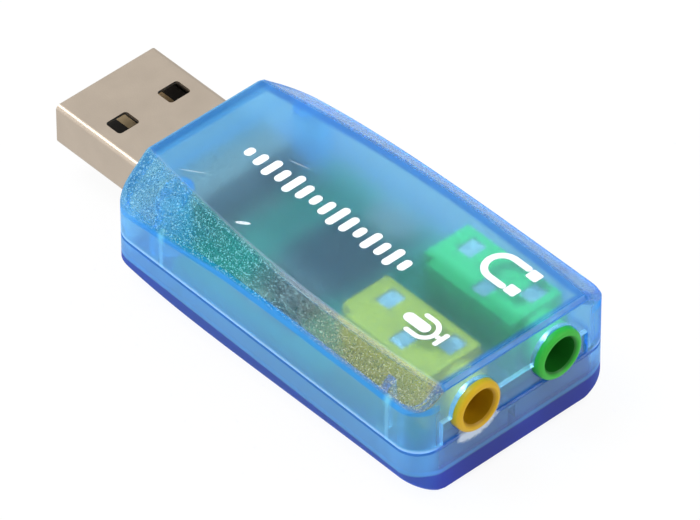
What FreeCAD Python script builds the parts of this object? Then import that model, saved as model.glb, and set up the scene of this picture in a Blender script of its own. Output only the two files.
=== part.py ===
import FreeCAD, Part
import os

import Sketcher

# USB sound card: a short dongle with a USB plug at one end and two 3.5 mm jacks at the other.
# X runs along the dongle, plug towards -X and jacks towards +X. Z is up, and Z = 0 is the flat sole.
# The origin is under the middle of the whole length. Everything is in millimetres.

# Driving dimensions, one cell each.
SIZES = [
    # USB plug, standard outline
    ("plug_width", "12.0"),
    ("plug_height", "4.5"),
    ("plug_wall", "0.3"),
    ("plug_inner_fold", "0.2"),
    ("plug_reach", "13.2"),
    ("plug_tail", "5.4"),
    ("plug_seam", "0.12"),
    ("plug_hole_long", "2.0"),
    ("plug_hole_wide", "2.5"),
    ("plug_hole_back", "5.75"),
    ("plug_hole_offset", "3.07"),
    ("plug_hole_ease", "0.35"),
    ("plug_mouth", "9.1"),
    ("leg_long", "1.2"),
    ("leg_tall", "1.3"),
    ("leg_below", "0.7"),
    ("tongue_thick", "1.87"),
    ("tongue_setback", "0.6"),
    ("insulator_tail", "1.6"),
    ("strip_wide", "1.0"),
    ("strip_thick", "0.25"),
    ("strip_near", "1.0"),
    ("strip_far", "3.5"),
    ("strip_setback", "0.7"),
    ("strip_stagger", "1.0"),
    ("strip_landing", "2.0"),
    # Moulded case
    ("wall", "1.2"),
    ("parting", "5.4"),
    ("rear_corner", "2.6"),
    ("front_corner", "2.6"),
    ("rear_lid_margin", "0.78"),
    ("front_lid_margin", "0.69"),
    ("waist_start", "15.5"),
    ("waist_end", "23.5"),
    ("waist_swell", "0.48"),
    ("waist_step", "0.4"),
    ("bevel_run", "3.14"),
    ("side_flare", "0.41"),
    ("lid_drop", "2.11"),
    ("lid_drop_waist", "2.3"),
    ("lid_drop_rear", "4.05"),
    ("sole_rise", "1.84"),
    ("sole_rise_waist", "1.65"),
    ("sole_rise_rear", "2.6"),
    ("lid_gap", "0.33"),
    ("edge_ease", "0.3"),
    ("seam_ease", "0.12"),
    ("tab_margin", "1.2"),
    ("tab_recess", "0.3"),
    ("boss_radius", "1.6"),
    ("boss_gap", "0.4"),
    ("boss_hole", "4.0"),
    ("pin_radius", "1.0"),
    ("pin_long", "1.2"),
    ("web_thick", "0.9"),
    ("rib_pitch", "1.7"),
    ("rib_deep", "2.4"),
    ("slack", "0.1"),
    # Audio jacks
    ("jack_bore", "3.6"),
    ("jack_depth", "14.0"),
    ("jack_mouth", "0.3"),
    ("jack_pitch", "9.7"),
    ("jack_side", "1.3"),
    ("jack_roof", "1.0"),
    ("jack_floor", "0.79"),
    ("jack_long", "12.0"),
    ("jack_setback", "1.4"),
    ("jack_proud", "0.7"),
    ("jack_notch_long", "1.3"),
    ("jack_notch_wide", "0.9"),
    ("barrel_wall", "0.8"),
    ("barrel_ease", "0.45"),
    ("spring_long", "1.7"),
    ("spring_wide", "2.1"),
    ("spring_thick", "0.25"),
    ("spring_sink", "0.15"),
    ("spring_web", "0.3"),
    ("spring_slack", "0.05"),
    ("spring_below", "0.8"),
    ("tip_share", "0.2"),
    ("ring_share", "0.575"),
    ("sleeve_share", "0.858"),
    # Circuit board and what is soldered to it
    ("board_thick", "1.2"),
    ("board_rise", "0.05"),
    ("board_gap", "0.85"),
    ("chip_room", "17.05"),
    ("chip_side", "7.0"),
    ("chip_thick", "1.4"),
    ("chip_stand", "0.1"),
    ("chip_bevel", "0.25"),
    ("chip_dimple", "0.5"),
    ("lead_pitch", "0.5"),
    ("lead_wide", "0.22"),
    ("lead_thick", "0.13"),
    ("lead_reach", "1.0"),
    ("lead_foot", "0.5"),
    ("crystal_long", "5.0"),
    ("crystal_wide", "3.2"),
    ("crystal_tray", "0.75"),
    ("crystal_lid", "0.35"),
    ("crystal_rim", "0.35"),
    ("chip_margin", "0.6"),
    ("coupler_long", "3.2"),
    ("coupler_wide", "1.6"),
    ("coupler_tall", "1.6"),
    ("small_long", "1.6"),
    ("small_wide", "0.8"),
    ("small_tall", "0.8"),
    ("small_gap", "0.5"),
    ("flat_tall", "0.45"),
]

# Levels, stations and half widths that follow from the driving dimensions.
PLACES = [
    # Heights, from the sole upwards
    ("board_top", "size.parting + size.board_rise"),
    ("board_low", "place.board_top - size.board_thick"),
    ("tongue_top", "place.board_top + size.strip_thick"),
    ("plug_floor", "place.tongue_top - size.tongue_thick"),
    ("plug_low", "place.plug_floor - size.plug_wall"),
    ("plug_top", "place.plug_low + size.plug_height"),
    ("jack_axis", "place.board_top + size.jack_floor + size.jack_bore / 2"),
    ("jack_top", "place.jack_axis + size.jack_bore / 2 + size.jack_roof"),
    ("case_top", "place.jack_top + size.lid_gap + size.wall"),
    # Lengths of the case and of the whole dongle
    ("plug_inside", "size.plug_tail + size.insulator_tail"),
    ("jack_inside", "size.jack_long + size.jack_setback + size.wall"),
    ("body_long", "place.plug_inside + size.strip_landing + size.chip_room + place.jack_inside"),
    ("overall", "size.plug_reach + place.body_long + size.jack_proud"),
    # Stations along X
    ("tip_x", "-place.overall / 2"),
    ("rear_x", "place.tip_x + size.plug_reach"),
    ("front_x", "place.rear_x + place.body_long"),
    ("jack_x", "place.front_x + size.jack_proud"),
    ("jack_back_x", "place.front_x - place.jack_inside"),
    ("jack_front_x", "place.jack_back_x + size.jack_long"),
    ("plug_end_x", "place.rear_x + size.plug_tail"),
    ("board_rear_x", "place.plug_end_x + size.insulator_tail + size.slack"),
    ("board_front_x", "place.jack_front_x - size.slack"),
    ("strip_end_x", "place.plug_end_x + size.insulator_tail + size.strip_landing"),
    ("chip_x", "(place.strip_end_x + place.jack_back_x) / 2"),
    ("boss_x", "place.board_rear_x - size.slack - size.boss_radius"),
    ("rib_x", "place.board_front_x - size.rib_pitch * 2"),
    # Half widths
    ("plug_half", "size.plug_width / 2"),
    ("jack_half", "size.jack_bore / 2 + size.jack_side"),
    ("barrel_radius", "size.jack_bore / 2 + size.barrel_wall"),
    ("jack_y", "size.jack_pitch / 2"),
    ("lid_front", "place.jack_y + place.jack_half + size.front_lid_margin"),
    ("lid_waist_end", "place.lid_front + size.waist_swell"),
    ("lid_waist_start", "place.lid_waist_end - size.waist_step"),
    ("lid_rear", "place.plug_half + size.rear_lid_margin"),
    ("side_front", "place.lid_front + size.bevel_run"),
    ("side_rear", "place.side_front - size.side_flare"),
    ("board_half", "place.side_rear - size.wall - size.board_gap"),
    ("boss_y", "place.plug_half + size.boss_gap + size.boss_radius"),
    ("tab_half", "place.jack_y + place.barrel_radius + size.tab_margin"),
    ("nose_long", "size.jack_proud + size.wall + size.jack_setback"),
    ("leg_out", "size.slack + size.leg_long * 2"),
    ("spring_y", "size.jack_bore / 2 + size.spring_web"),
    ("chip_span", "size.chip_side / 2 + size.lead_reach"),
]

LEADS_PER_SIDE = 12
CHIP_SIDES = 4
# Contacts by name, with the side of the middle that each is on.
STRIPS = {"power": -1, "data_minus": -1, "data_plus": 1, "ground": 1}
SPRINGS = {"tip": 1, "ring": -1, "sleeve": 1}
JACKS = {"headphone": 1, "microphone": -1}
# How far a cut runs past its piece, and how far a boss or rib sinks into the wall that carries it.
OVER = "2"
BITE = "0.5"
DOC = FreeCAD.newDocument("usb_sound_card")
NODES = []


def make_sheet(name, rows, lead=""):
    sheet = DOC.addObject("Spreadsheet::Sheet", name)
    for row, (alias, text) in enumerate(rows, start=1):
        sheet.set(f"A{row}", alias)
        sheet.set(f"B{row}", lead + text)
        sheet.setAlias(f"B{row}", alias)
    DOC.recompute()
    return sheet


SHEET = make_sheet("size", SIZES)
make_sheet("place", PLACES, "=")


def number(expression):
    return float(SHEET.evalExpression(expression))


def start_body(label, node=True):
    body = DOC.addObject("PartDesign::Body", label)
    body.Label = label
    if node:
        NODES.append(body)
    return body


def put(item, x="0", y="0", z="0"):
    """Tie the place of a sub-part to the sheets."""
    for axis, expression in zip("xyz", (x, y, z)):
        item.setExpression(f"Placement.Base.{axis}", expression)


def origin_item(body, role):
    return next(item for item in body.Origin.OriginFeatures if item.Role == role)


class Profile:
    """A sketch on one of its body's own planes, with every point tied to the sheets."""

    def __init__(self, body, name, role, offset="0"):
        self.body = body
        self.sketch = body.newObject("Sketcher::SketchObject", name)
        self.sketch.AttachmentSupport = [(origin_item(body, role), "")]
        self.sketch.MapMode = "FlatFace"
        self.sketch.setExpression("AttachmentOffset.Base.z", offset)

    def tie(self, constraint, expression):
        index = self.sketch.addConstraint(constraint)
        self.sketch.setExpression(f"Constraints[{index}]", expression)

    def pin(self, edge, point, across, along):
        self.tie(Sketcher.Constraint("DistanceX", -1, 1, edge, point, number(across)), across)
        self.tie(Sketcher.Constraint("DistanceY", -1, 1, edge, point, number(along)), along)

    def outline(self, *corners):
        spots = [FreeCAD.Vector(number(across), number(along)) for across, along in corners]
        first = self.sketch.GeometryCount
        count = len(spots)
        for step in range(count):
            self.sketch.addGeometry(Part.LineSegment(spots[step], spots[(step + 1) % count]))
        for step, corner in enumerate(corners):
            following = first + (step + 1) % count
            self.sketch.addConstraint(Sketcher.Constraint("Coincident", first + step, 2, following, 1))
            self.pin(first + step, 1, *corner)
        return self

    def rectangle(self, left, low, right, high):
        return self.outline((left, low), (right, low), (right, high), (left, high))

    def circle(self, across, along, radius):
        middle = FreeCAD.Vector(number(across), number(along))
        edge = self.sketch.addGeometry(Part.Circle(middle, FreeCAD.Vector(0, 0, 1), number(radius)))
        self.pin(edge, 3, across, along)
        self.tie(Sketcher.Constraint("Radius", edge, number(radius)), radius)
        return self

    def extrude(self, kind, length, against=False):
        feature = self.body.newObject(f"PartDesign::{kind}", f"{self.sketch.Name}_{kind.lower()}")
        feature.Profile = self.sketch
        feature.Reversed = against
        feature.setExpression("Length", length)
        DOC.recompute()
        return feature

    def pad(self, length):
        """Add material along the sketch's normal."""
        return self.extrude("Pad", length)

    def pocket(self, length):
        """Cut along the sketch's normal."""
        return self.extrude("Pocket", length, against=True)


def mirror(body, feature, role):
    copy = body.newObject("PartDesign::Mirrored", f"{feature.Name}_mirrored")
    copy.Originals = [feature]
    copy.MirrorPlane = (origin_item(body, role), [""])
    body.Tip = copy
    DOC.recompute()
    return copy


def dress(body, kind, chosen, measure, size):
    """Fillet or chamfer the edges of the body's last feature that the test picks."""
    base = body.Tip
    names = [f"Edge{index}" for index, edge in enumerate(base.Shape.Edges, start=1) if chosen(edge)]
    feature = body.newObject(f"PartDesign::{kind}", f"{base.Name}_{kind.lower()}")
    feature.Base = (base, names)
    feature.setExpression(measure, size)
    DOC.recompute()
    return feature


def fillet(body, chosen, radius):
    return dress(body, "Fillet", chosen, "Radius", radius)


def chamfer(body, chosen, size):
    return dress(body, "Chamfer", chosen, "Size", size)


def along(edge, axis):
    """True for a straight edge that runs along the axis."""
    if not isinstance(edge.Curve, Part.Line):
        return False
    return abs(edge.tangentAt(edge.FirstParameter).dot(axis)) > 1 - 1e-6


X_AXIS = FreeCAD.Vector(1, 0, 0)
Y_AXIS = FreeCAD.Vector(0, 1, 0)
Z_AXIS = FreeCAD.Vector(0, 0, 1)


def case_station(name):
    """X place, lid half width, side half width, lid drop and sole rise of a station along the case."""
    share = {
        "rear": ("0", "place.lid_rear", "size.lid_drop_rear", "size.sole_rise_rear"),
        "waist_start": ("size.waist_start", "place.lid_waist_start", "size.lid_drop_waist",
                        "size.sole_rise_waist"),
        "waist_end": ("size.waist_end", "place.lid_waist_end", "size.lid_drop", "size.sole_rise"),
        "front": ("place.body_long", "place.lid_front", "size.lid_drop", "size.sole_rise"),
    }
    back, lid, drop, rise = share[name]
    side = f"(place.side_rear + size.side_flare * {back} / place.body_long)"
    return f"place.rear_x + {back}", lid, side, drop, rise


def case_form(label, upper, inset):
    """One half of the case, drawn in by the inset: a plan outline with its long edges bevelled."""
    body = start_body(label, node=False)
    reach = "0" if inset == "0" else OVER
    low = f"size.parting - {reach}" if upper else inset
    high = f"place.case_top - {inset}" if upper else f"size.parting + {reach}"
    rear, front = f"place.rear_x + {inset}", f"place.front_x - {inset}"
    rear_half, front_half = f"place.side_rear - {inset}", f"place.side_front - {inset}"
    plan = Profile(body, f"{label}_plan", "XY_Plane", low)
    plan.outline((rear, f"-({rear_half})"), (front, f"-({front_half})"),
                 (front, front_half), (rear, rear_half))
    plan.pad(f"{high} - ({low})")
    middle = number("place.rear_x + place.body_long / 2")
    fillet(body, lambda edge: along(edge, Z_AXIS) and edge.CenterOfMass.x < middle,
           f"size.rear_corner - {inset}")
    fillet(body, lambda edge: along(edge, Z_AXIS) and edge.CenterOfMass.x > middle,
           f"size.front_corner - {inset}")
    sections = []
    for name in ("rear", "waist_start", "waist_end", "front"):
        spot, lid, side, drop, rise = case_station(name)
        fall = drop if upper else rise
        run = f"({side} - {lid})"
        slant = f"sqrt({run} ^ 2 + {fall} ^ 2)"
        edge = f"{lid} - {inset} * ({slant} - {run}) / {fall}"
        inward = f"{edge} - {OVER} * {run} / {fall}"
        outward = f"{side} + {OVER}"
        depth = f"({outward} - ({edge})) * {fall} / {run}"
        sketch = Profile(body, f"{label}_{name}", "YZ_Plane", spot)
        if upper:
            ends = f"{high} + {OVER}", f"{high} - {depth}"
        else:
            ends = f"{low} - {OVER}", f"{low} + {depth}"
        sketch.outline((inward, ends[0]), (outward, ends[1]), (outward, ends[0]))
        sections.append(sketch.sketch)
    bevel = body.newObject("PartDesign::SubtractiveLoft", f"{label}_bevel")
    bevel.Profile = sections[0]
    bevel.Sections = sections[1:]
    DOC.recompute()
    mirror(body, bevel, "XZ_Plane")
    return body


def ease_edges(body):
    """Ease the outer edges of a case half, and more lightly the edge where it meets the other half."""
    level = number("size.parting")

    def at_seam(edge):
        return abs(edge.BoundBox.ZMin - level) + abs(edge.BoundBox.ZMax - level) < 1e-3

    chamfer(body, at_seam, "size.seam_ease")
    clear = number("size.seam_ease * 2")

    def outer(edge):
        return not along(edge, Z_AXIS) and abs(edge.CenterOfMass.z - level) > clear

    chamfer(body, outer, "size.edge_ease")


def hollow(body, core):
    cut = body.newObject("PartDesign::Boolean", f"{body.Name}_hollow")
    cut.Type = "Cut"
    cut.setObjects([core])
    body.Tip = cut
    DOC.recompute()


def both_sides(low, high):
    """The two strips of Y from low to high, one on each side of the middle."""
    return (low, high), (f"-({high})", f"-({low})")


def plug_opening(body, low, high):
    """Cut the rear wall round the plug."""
    half = "place.plug_half + size.slack"
    opening = Profile(body, f"{body.Name}_plug_opening", "YZ_Plane", f"place.rear_x - {OVER}")
    opening.rectangle(f"-({half})", low, half, high)
    opening.pocket(f"size.wall + {OVER} + {BITE}")


def jack_openings(body):
    """Cut the front wall round both jack barrels."""
    opening = Profile(body, f"{body.Name}_jack_openings", "YZ_Plane", f"place.front_x - size.wall - {BITE}")
    for side in JACKS.values():
        opening.circle(f"{side} * place.jack_y", "place.jack_axis", "place.barrel_radius + size.slack")
    opening.pocket(f"size.wall + {OVER}")


def make_top_shell():
    core = case_form("top_core", True, "size.wall")
    bosses = Profile(core, "top_bosses", "XY_Plane", "size.parting")
    webs = Profile(core, "top_webs", "XY_Plane", "size.parting")
    half_web = "size.web_thick / 2"
    rib_x = "place.rib_x + size.rib_pitch / 2"
    for side in (1, -1):
        outside = f"{side} * (place.side_front + {OVER})"
        rib_in = f"{side} * (place.board_half + size.slack)"
        bosses.circle("place.boss_x", f"{side} * place.boss_y", "size.boss_radius")
        webs.rectangle(f"place.boss_x - {half_web}", f"{side} * place.boss_y",
                       f"place.boss_x + {half_web}", outside)
        webs.rectangle(f"{rib_x} - {half_web}", rib_in, f"{rib_x} + {half_web}", outside)
    bosses.pocket("place.case_top")
    webs.pocket("place.case_top")
    body = case_form("top_shell", True, "0")
    NODES.append(body)
    ease_edges(body)
    hollow(body, core)
    plug_opening(body, f"size.parting - {OVER}", "place.plug_top + size.slack")
    notch = Profile(body, "tab_notch", "YZ_Plane", f"place.front_x - size.wall - {BITE}")
    notch.rectangle("-place.tab_half", f"size.parting - {OVER}", "place.tab_half", "place.jack_axis")
    notch.pocket(f"size.wall + {OVER}")
    jack_openings(body)
    sockets = Profile(body, "top_sockets", "XY_Plane", f"size.parting - {OVER}")
    for side in (1, -1):
        sockets.circle("place.boss_x", f"{side} * place.boss_y", "size.pin_radius + size.slack / 2")
    sockets.pocket(f"size.boss_hole + {OVER}")


def make_bottom_shell():
    core = case_form("bottom_core", False, "size.wall")
    posts = Profile(core, "bottom_posts", "XY_Plane", f"size.wall - {BITE}")
    webs = Profile(core, "bottom_webs", "XY_Plane", f"size.wall - {BITE}")
    ribs = Profile(core, "bottom_ribs", "XY_Plane", f"size.wall - {BITE}")
    half_web = "size.web_thick / 2"
    for side in (1, -1):
        outside = f"{side} * (place.side_front + {OVER})"
        posts.circle("place.boss_x", f"{side} * place.boss_y", "size.boss_radius")
        webs.rectangle(f"place.boss_x - {half_web}", f"{side} * place.boss_y",
                       f"place.boss_x + {half_web}", outside)
        inside = f"{side} * (place.side_rear - size.wall - size.rib_deep)"
        for rib_x in ("place.board_rear_x + size.rib_pitch", "place.rib_x", "place.rib_x + size.rib_pitch"):
            ribs.rectangle(f"{rib_x} - {half_web}", inside, f"{rib_x} + {half_web}", outside)
    ribs.rectangle("place.board_front_x - size.rib_deep", f"-{half_web}", f"place.front_x + {OVER}", half_web)
    posts.pocket(f"size.parting - size.wall + {BITE}")
    webs.pocket(f"size.parting - size.wall + {BITE}")
    ribs.pocket(f"place.board_low - size.wall + {BITE}")
    body = case_form("bottom_shell", False, "0")
    NODES.append(body)
    ease_edges(body)
    hollow(body, core)
    plug_opening(body, "place.plug_low - size.slack", f"size.parting + {OVER}")
    tab = Profile(body, "front_tab", "YZ_Plane", "place.front_x - size.wall")
    tab_half = "place.tab_half - size.slack"
    tab.rectangle(f"-({tab_half})", f"size.parting - {BITE}", tab_half, "place.jack_axis - size.slack / 2")
    tab.pad("size.wall - size.tab_recess")
    jack_openings(body)
    pins = Profile(body, "locating_pins", "XY_Plane", f"size.parting - {BITE}")
    for side in (1, -1):
        pins.circle("place.boss_x", f"{side} * place.boss_y", "size.pin_radius")
    pins.pad(f"size.pin_long + {BITE}")


def spring_slot(role):
    """X of a spring contact, from the front of its jack, and the half length of it."""
    middle = f"(size.jack_long * (size.{role}_share - 1) - place.nose_long)"
    return middle, "size.spring_long / 2"


def make_jack(name, side):
    """A jack housing with its axis along its own X and its mouth at its origin."""
    body = start_body(f"{name}_jack_housing")
    put(body, "place.jack_x", f"{side} * place.jack_y", "place.jack_axis")
    back = "-(size.jack_long + place.nose_long)"
    block = Profile(body, f"{name}_block", "XY_Plane", "-(size.jack_bore / 2 + size.jack_floor)")
    notch_x, notch_y = f"{back} + size.jack_notch_long", "size.jack_notch_wide - place.jack_half"
    block.outline((notch_x, "-place.jack_half"), ("-place.nose_long", "-place.jack_half"),
                  ("-place.nose_long", "place.jack_half"), (back, "place.jack_half"),
                  (back, notch_y), (notch_x, notch_y))
    block.pad("size.jack_floor + size.jack_bore + size.jack_roof")
    barrel = Profile(body, f"{name}_barrel", "YZ_Plane", "-place.nose_long")
    barrel.circle("0", "0", "place.barrel_radius")
    barrel.pad("place.nose_long")
    bore = Profile(body, f"{name}_bore", "YZ_Plane", "-size.jack_depth")
    bore.circle("0", "0", "size.jack_bore / 2")
    bore.pocket(f"size.jack_depth + {OVER}")
    middle_radius = number("(size.jack_bore / 2 + place.barrel_radius) / 2")

    def at_front(edge):
        return isinstance(edge.Curve, Part.Circle) and edge.CenterOfMass.Length < 1e-6

    chamfer(body, lambda edge: at_front(edge) and edge.Curve.Radius < middle_radius, "size.jack_mouth")
    fillet(body, lambda edge: at_front(edge) and edge.Curve.Radius > middle_radius, "size.barrel_ease")
    pad_floor = "size.jack_bore / 2 + size.jack_roof - size.spring_sink - size.spring_thick"
    pads = Profile(body, f"{name}_spring_pads", "XY_Plane", pad_floor)
    underneath = f"-(size.jack_bore / 2 + size.jack_floor + {OVER})"
    legs = Profile(body, f"{name}_spring_legs", "XY_Plane", underneath)
    for role, hand in SPRINGS.items():
        middle, half = spring_slot(role)
        left, right = f"{middle} - {half} - size.spring_slack", f"{middle} + {half} + size.spring_slack"
        outer = "place.spring_y + size.spring_thick + size.spring_slack"
        inner = f"{outer} - size.spring_wide - size.spring_slack * 2"
        pads.rectangle(left, f"{hand} * ({inner})", right, f"{hand} * ({outer})")
        legs.rectangle(left, f"{hand} * (place.spring_y - size.spring_slack)", right, f"{hand} * ({outer})")
    pads.pocket(f"size.spring_sink + size.spring_thick + {OVER}")
    legs.pocket(f"size.jack_floor + size.jack_bore + size.jack_roof + {OVER} * 2")


def make_springs(name, side):
    """Bent spring contacts: a pad under the roof of the housing and a leg through the board."""
    for role, hand in SPRINGS.items():
        body = start_body(f"{name}_{role}_contact")
        middle, half = spring_slot(role)
        put(body, f"place.jack_x + {middle}", f"{side} * place.jack_y", "place.jack_axis")
        top = "(size.jack_bore / 2 + size.jack_roof - size.spring_sink)"
        foot = "-(place.jack_axis - place.board_low + size.spring_below)"
        outer = f"{hand} * (place.spring_y + size.spring_thick)"
        bend = Profile(body, f"{name}_{role}_bend", "YZ_Plane", f"-{half}")
        bend.outline((outer, top), (outer, foot), (f"{hand} * place.spring_y", foot),
                     (f"{hand} * place.spring_y", f"{top} - size.spring_thick"),
                     (f"{outer} - {hand} * size.spring_wide", f"{top} - size.spring_thick"),
                     (f"{outer} - {hand} * size.spring_wide", top))
        bend.pad("size.spring_long")


def make_board():
    body = start_body("circuit_board")
    put(body, z="place.board_low")
    plate = Profile(body, "board_plate", "XY_Plane")
    plate.rectangle("place.board_rear_x", "-place.board_half", "place.board_front_x", "place.board_half")
    plate.pad("size.board_thick")
    slots = Profile(body, "board_slots", "XY_Plane", f"-{OVER}")
    leg = "place.plug_end_x + size.insulator_tail + place.leg_out"
    leg_in, leg_out = "place.plug_half - size.plug_wall - size.slack", "place.plug_half + size.slack"
    for low, high in both_sides(leg_in, leg_out):
        slots.rectangle(f"{leg} - size.leg_long - size.slack", low, f"{leg} + size.slack", high)
    for side in JACKS.values():
        for role, hand in SPRINGS.items():
            middle, half = spring_slot(role)
            axis_y = f"{side} * place.jack_y"
            inner = f"{axis_y} + {hand} * (place.spring_y - size.spring_slack)"
            outer = f"{axis_y} + {hand} * (place.spring_y + size.spring_thick + size.spring_slack)"
            slots.rectangle(f"place.jack_x + {middle} - {half} - size.spring_slack", inner,
                            f"place.jack_x + {middle} + {half} + size.spring_slack", outer)
    slots.pocket(f"size.board_thick + {OVER} * 2")


def make_plug_shell():
    """Steel tube folded from sheet, with its seam underneath and two legs into the board."""
    body = start_body("plug_shell")
    put(body, "place.tip_x", "0", "place.plug_low")
    long = "(size.plug_reach + size.plug_tail)"
    tube = Profile(body, "plug_tube", "YZ_Plane")
    tube.rectangle("-place.plug_half", "0", "place.plug_half", "size.plug_height")
    tube.pad(long)
    fillet(body, lambda edge: along(edge, X_AXIS), "size.plug_inner_fold + size.plug_wall")
    mouth = Profile(body, "plug_hollow", "YZ_Plane", f"-{OVER}")
    mouth_half = "(place.plug_half - size.plug_wall)"
    mouth.rectangle(f"-{mouth_half}", "size.plug_wall", mouth_half, "size.plug_height - size.plug_wall")
    mouth.pocket(f"{long} + {OVER} * 2")
    inner = number("place.plug_half - size.plug_wall")
    fillet(body, lambda edge: along(edge, X_AXIS) and abs(abs(edge.CenterOfMass.y) - inner) < 1e-3,
           "size.plug_inner_fold")
    holes = Profile(body, "plug_holes", "XY_Plane", f"-{OVER}")
    for side in (1, -1):
        middle, half_wide = f"{side} * size.plug_hole_offset", "size.plug_hole_wide / 2"
        holes.rectangle("size.plug_hole_back - size.plug_hole_long / 2", f"{middle} - {half_wide}",
                        "size.plug_hole_back + size.plug_hole_long / 2", f"{middle} + {half_wide}")
    holes.pocket(f"size.plug_height + {OVER} * 2")
    hole_x, hole_reach = number("size.plug_hole_back"), number("size.plug_hole_long / 2 + size.plug_wall")
    fillet(body, lambda edge: along(edge, Z_AXIS) and abs(edge.CenterOfMass.x - hole_x) < hole_reach,
           "size.plug_hole_ease")
    seam = Profile(body, "plug_seam_slit", "XY_Plane", f"-{OVER}")
    seam.rectangle(f"-{OVER}", "-size.plug_seam / 2", f"{long} + {OVER}", "size.plug_seam / 2")
    seam.pocket(f"size.plug_wall + {BITE} + {OVER}")
    arm_low = "place.board_top + size.slack - place.plug_low"
    end = f"{long} + size.insulator_tail + place.leg_out"
    foot = "place.board_low - size.leg_below - place.plug_low"
    for low, high in both_sides("place.plug_half - size.plug_wall", "place.plug_half"):
        leg = Profile(body, "plug_leg", "XZ_Plane", f"-({high})")
        leg.outline((f"{long} - size.plug_wall", arm_low), (f"{end} - size.leg_long", arm_low),
                    (f"{end} - size.leg_long", foot), (end, foot), (end, f"{arm_low} + size.leg_tall"),
                    (f"{long} - size.plug_wall", f"{arm_low} + size.leg_tall"))
        leg.pad("size.plug_wall")


def make_plug_insulator():
    """Moulded block in the tail of the plug, with the tongue that carries the contact strips."""
    body = start_body("plug_insulator")
    put(body, "place.tip_x", "0", "place.plug_floor")
    half = "(place.plug_half - size.plug_wall - size.slack / 2)"
    tall = "(size.plug_height - size.plug_wall * 2 - size.slack / 2)"
    end = "(size.plug_reach + place.plug_inside)"
    block = Profile(body, "insulator_block", "YZ_Plane", "size.plug_mouth")
    block.rectangle(f"-{half}", "0", half, tall)
    block.pad(f"{end} - size.plug_mouth")
    chamfer(body, lambda edge: along(edge, X_AXIS), "size.plug_inner_fold")
    tongue = Profile(body, "insulator_tongue", "YZ_Plane", "size.tongue_setback")
    tongue_half = f"({half} - size.plug_inner_fold)"
    tongue.rectangle(f"-{tongue_half}", "0", tongue_half, "size.tongue_thick")
    tongue.pad(f"size.plug_mouth - size.tongue_setback + {BITE}")
    grooves = Profile(body, "insulator_grooves", "YZ_Plane", "size.tongue_setback + size.strip_setback")
    half_groove = "(size.strip_wide / 2 + size.spring_slack)"
    for across in strip_places():
        grooves.rectangle(f"{across} - {half_groove}", "size.tongue_thick - size.strip_thick",
                          f"{across} + {half_groove}", "size.tongue_thick + size.spring_slack")
    grooves.pocket(f"{end} + {OVER}")


def strip_places():
    """Y of each contact strip: the data pair is nearer the middle."""
    rows = {role: "near" if role.startswith("data") else "far" for role in STRIPS}
    return [f"{side} * size.strip_{rows[role]}" for role, side in STRIPS.items()]


def make_strips():
    """Flat contact strips along the tongue, with the outer pair reaching further forward."""
    for role, across in zip(STRIPS, strip_places()):
        body = start_body(f"plug_contact_{role}")
        stagger = "size.strip_stagger" if role.startswith("data") else "0"
        begin = f"(size.tongue_setback + size.strip_setback + {stagger})"
        put(body, f"place.tip_x + {begin}", across, "place.board_top")
        strip = Profile(body, f"strip_{role}", "XY_Plane")
        end = f"(size.plug_reach + place.plug_inside + size.strip_landing) - {begin}"
        strip.rectangle("0", "-size.strip_wide / 2", end, "size.strip_wide / 2")
        strip.pad("size.strip_thick")
        top = number("size.strip_thick")
        chamfer(body, lambda edge: along(edge, Y_AXIS) and edge.CenterOfMass.x < top / 2
                and edge.CenterOfMass.z > top / 2, "size.strip_thick / 2")


def make_chip():
    body = start_body("codec_chip")
    put(body, "place.chip_x", "0", "place.board_top + size.chip_stand")
    half = "size.chip_side / 2"
    slab = Profile(body, "chip_slab", "XY_Plane")
    slab.rectangle(f"-{half}", f"-{half}", half, half)
    slab.pad("size.chip_thick")
    middle = number("size.chip_thick") / 2
    chamfer(body, lambda edge: edge.CenterOfMass.z > middle and not along(edge, Z_AXIS), "size.chip_bevel")
    dimple = Profile(body, "chip_dimple", "XY_Plane", "size.chip_thick - size.chip_stand")
    spot = f"size.chip_dimple * 2 - {half}"
    dimple.circle(spot, spot, "size.chip_dimple")
    dimple.pocket("size.chip_stand * 2")


def make_chip_leads():
    """Gull wing leads: one bent strip, repeated along a side of the chip and round its four sides."""
    body = start_body("codec_leads")
    put(body, "place.chip_x", "0", "place.board_top")
    row = f"size.lead_pitch * {LEADS_PER_SIDE - 1}"
    root = "size.chip_side / 2"
    high = "size.chip_stand + size.chip_thick / 2"
    heel = f"{root} + size.lead_reach - size.lead_foot"
    bend = Profile(body, "lead_bend", "XZ_Plane", f"{row} / 2 - size.lead_wide / 2")
    bend.outline((root, high), (f"{heel} - size.lead_thick", high), (f"{heel} - size.lead_thick", "0"),
                 (f"{root} + size.lead_reach", "0"), (f"{root} + size.lead_reach", "size.lead_thick"),
                 (heel, "size.lead_thick"),
                 (heel, f"{high} + size.lead_thick"), (root, f"{high} + size.lead_thick"))
    lead = bend.pad("size.lead_wide")
    repeat = body.newObject("PartDesign::MultiTransform", "lead_rows")
    repeat.Originals = [lead]
    line = body.newObject("PartDesign::LinearPattern", "lead_line")
    line.Direction = (origin_item(body, "Y_Axis"), [""])
    line.setExpression("Length", row)
    line.Occurrences = LEADS_PER_SIDE
    turn = body.newObject("PartDesign::PolarPattern", "lead_turn")
    turn.Axis = (origin_item(body, "Z_Axis"), [""])
    turn.Angle = 360
    turn.Occurrences = CHIP_SIDES
    repeat.Transformations = [line, turn]
    body.Tip = repeat
    DOC.recompute()


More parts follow.
